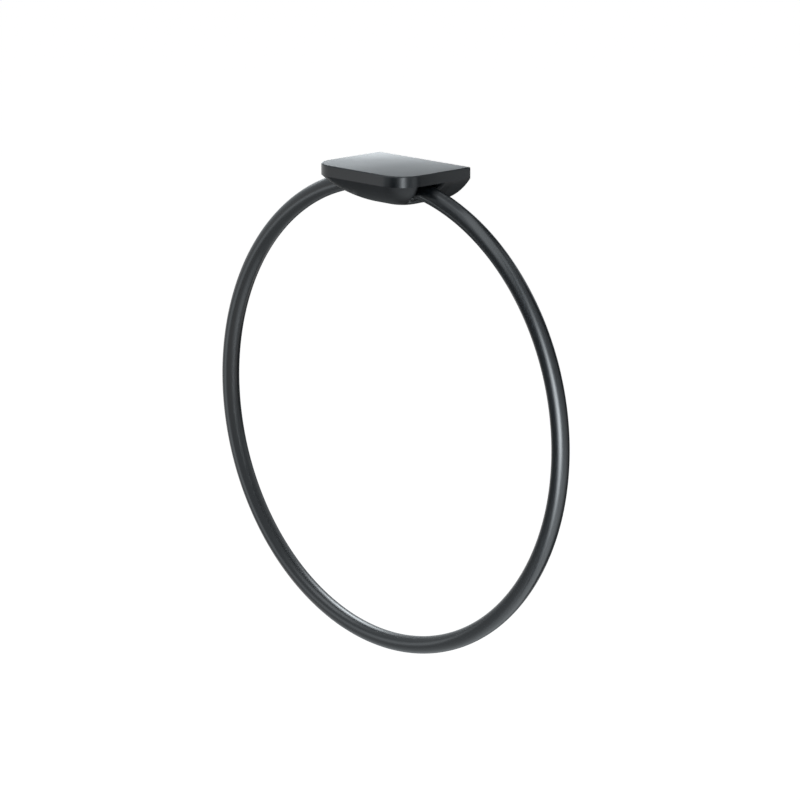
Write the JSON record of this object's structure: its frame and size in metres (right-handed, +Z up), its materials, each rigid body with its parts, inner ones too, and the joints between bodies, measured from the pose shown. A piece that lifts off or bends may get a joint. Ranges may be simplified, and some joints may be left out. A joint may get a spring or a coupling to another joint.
{
  "type": "towel ring",
  "caption": "Wall-mounted towel ring: a closed round bar held in a flat-topped block with a dished underside, on a hidden wall plate.",
  "frame": {"origin": "on the wall plane, midway between the two wall-screw holes of the wall plate", "axes": "+Z up, +Y into the wall, +X along the wall to the right of someone who faces the wall"},
  "size_m": [0.22, 0.0424, 0.223],
  "materials": {
    "ring_finish": "satin black coating on a round steel bar",
    "block_finish": "satin black coating on cast zinc",
    "screw_steel": "plain stainless steel",
    "bare_zinc": "plain cast zinc, uncoated"
  },
  "bodies": {
    "root": {"ring": "ring_finish", "holder_body": "block_finish", "top_plate": "block_finish", "cover_screws": "screw_steel", "wall_plate": "bare_zinc", "grub_screw": "screw_steel"}
  },
  "joints": []
}
